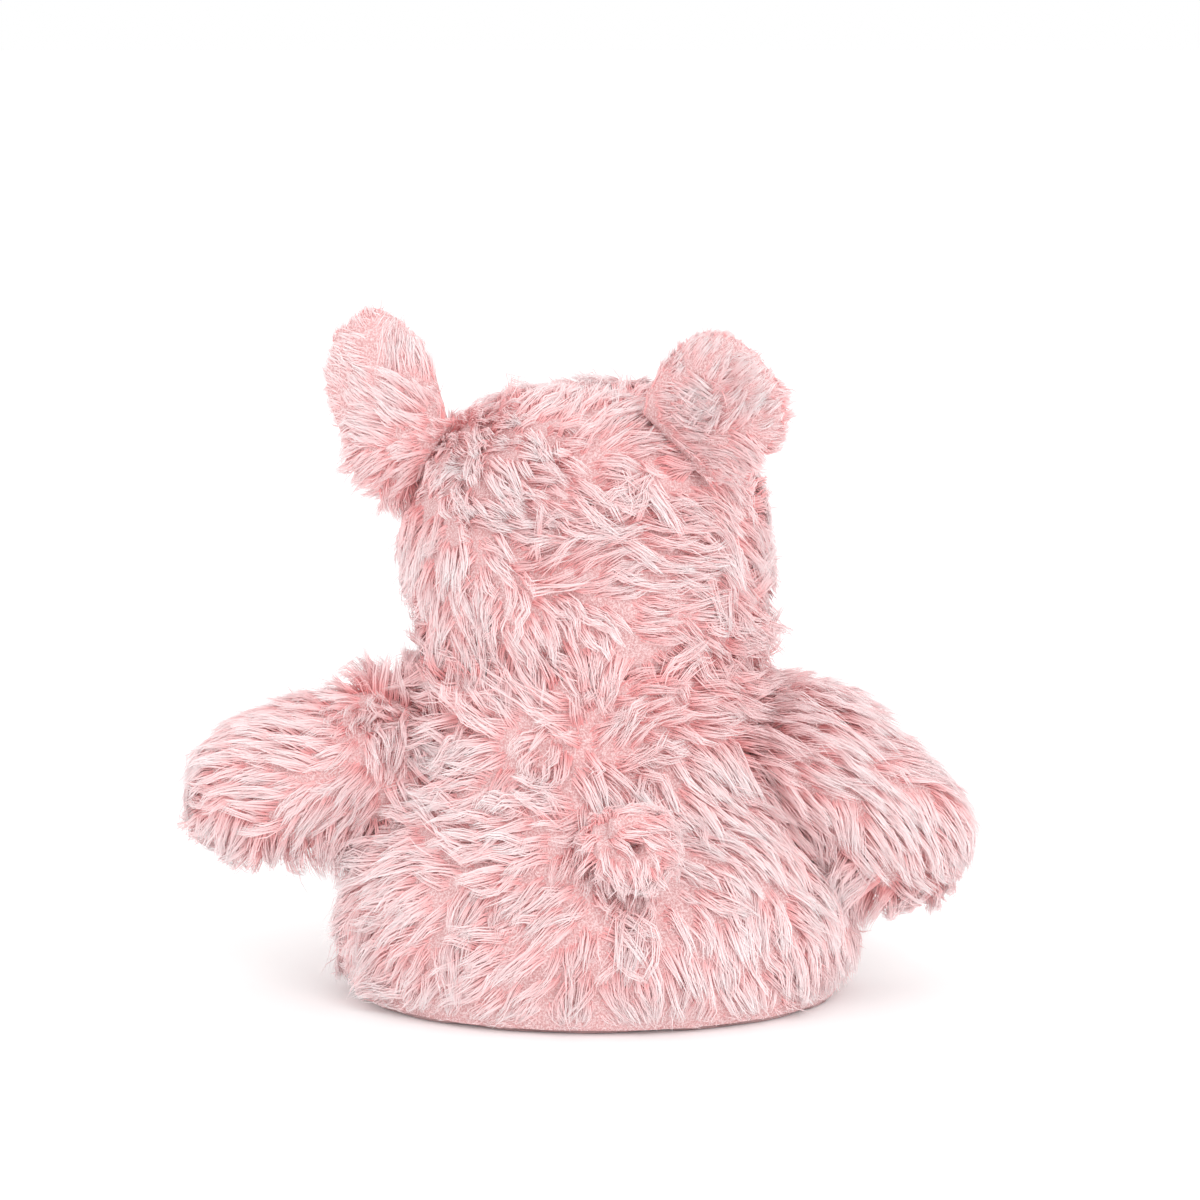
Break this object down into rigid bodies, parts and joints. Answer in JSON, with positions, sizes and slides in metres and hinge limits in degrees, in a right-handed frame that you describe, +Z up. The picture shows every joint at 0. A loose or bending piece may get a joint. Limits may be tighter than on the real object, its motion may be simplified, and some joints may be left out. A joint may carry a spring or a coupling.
{
  "type": "plush pig",
  "caption": "Seated stuffed pig in long pale pink pile, with a ball head, folded ears, soft jointed arms and legs, a curled tail and a flat base.",
  "frame": {"origin": "centre of the flat base disc's underside", "axes": "+Z up, -Y the way the pig sits facing, +X to the pig's left, which is the left of the picture"},
  "size_m": [0.2632, 0.2098, 0.2369],
  "materials": {
    "fur": "long pale pink pile on a knitted backing",
    "short_pile": "short dense pink pile",
    "base_cloth": "smooth pink woven cloth",
    "lining_cloth": "thin white lining cloth",
    "stuffing": "white polyester fibre",
    "pellets": "loose plastic pellets in a packed bag",
    "eye_plastic": "polished black plastic",
    "washer_plastic": "plain white plastic"
  },
  "bodies": {
    "torso": {"base_panel": "base_cloth", "back_panel_left": "fur", "back_panel_right": "fur", "belly_panel": "fur", "torso_stuffing": "stuffing", "pellet_pouch_bottom": "lining_cloth", "pellet_pouch_top": "lining_cloth", "pellet_fill": "pellets"},
    "neck": {"neck_seam_ring": "base_cloth"},
    "head": {"head_side_left": "fur", "head_side_right": "fur", "head_gusset": "fur", "head_stuffing": "stuffing", "snout_wall": "short_pile", "snout_face": "short_pile", "snout_stuffing": "stuffing", "eye_left": "eye_plastic", "eye_right": "eye_plastic", "eye_washer_left": "washer_plastic", "eye_washer_right": "washer_plastic"},
    "ear_left": {"ear_back_left": "fur", "ear_lining_left": "short_pile"},
    "ear_right": {"ear_back_right": "fur", "ear_lining_right": "short_pile"},
    "arm_left": {"arm_back_left": "fur", "arm_front_left": "fur", "arm_stuffing_left": "stuffing"},
    "arm_right": {"arm_back_right": "fur", "arm_front_right": "fur", "arm_stuffing_right": "stuffing"},
    "leg_left": {"leg_upper_left": "fur", "leg_under_left": "fur", "leg_stuffing_left": "stuffing", "foot_pad_left": "short_pile"},
    "leg_right": {"leg_upper_right": "fur", "leg_under_right": "fur", "leg_stuffing_right": "stuffing", "foot_pad_right": "short_pile"},
    "tail": {"tail": "fur"}
  },
  "joints": [
    {"name": "head_turn", "type": "hinge", "parent": "torso", "child": "neck", "pos_m": [0.0035, 0, 0.14885], "axis": [0, 0, 1], "range_deg": [-15, 45], "stiffness_Nm_per_rad": 0.6},
    {"name": "head_nod", "type": "hinge", "parent": "neck", "child": "head", "pos_m": [0.0035, 0, 0.14885], "axis": [0.9085, -0.4045, -0.1045], "range_deg": [-15, 12], "stiffness_Nm_per_rad": 1.2},
    {"name": "ear_left_fold", "type": "hinge", "parent": "head", "child": "ear_left", "pos_m": [0.06113, -0.00362, 0.18693], "axis": [0.5257, -0.2341, -0.8178], "range_deg": [-20, 40], "stiffness_Nm_per_rad": 0.02},
    {"name": "ear_right_fold", "type": "hinge", "parent": "head", "child": "ear_right", "pos_m": [-0.02944, 0.03671, 0.19735], "axis": [0.6696, -0.2981, 0.6803], "range_deg": [-10, 50], "stiffness_Nm_per_rad": 0.02},
    {"name": "shoulder_left", "type": "hinge", "parent": "torso", "child": "arm_left", "pos_m": [0.07332, 0, 0.08099], "axis": [0, -1, 0], "range_deg": [-33, 22], "stiffness_Nm_per_rad": 0.35},
    {"name": "shoulder_right", "type": "hinge", "parent": "torso", "child": "arm_right", "pos_m": [-0.06868, 0, 0.08099], "axis": [0, 1, 0], "range_deg": [-8, 47], "stiffness_Nm_per_rad": 0.35},
    {"name": "hip_left", "type": "hinge", "parent": "torso", "child": "leg_left", "pos_m": [0.04, -0.078, 0.0255], "axis": [-0.9703, -0.2419, 0], "range_deg": [-15, 20], "stiffness_Nm_per_rad": 0.3},
    {"name": "hip_right", "type": "hinge", "parent": "torso", "child": "leg_right", "pos_m": [-0.04, -0.078, 0.0255], "axis": [-0.9703, 0.2419, 0], "range_deg": [-15, 20], "stiffness_Nm_per_rad": 0.3},
    {"name": "tail_bend", "type": "hinge", "parent": "torso", "child": "tail", "pos_m": [-0.003, 0.06693, 0.068], "axis": [1, 0, 0], "range_deg": [-12, 12], "stiffness_Nm_per_rad": 0.01}
  ]
}
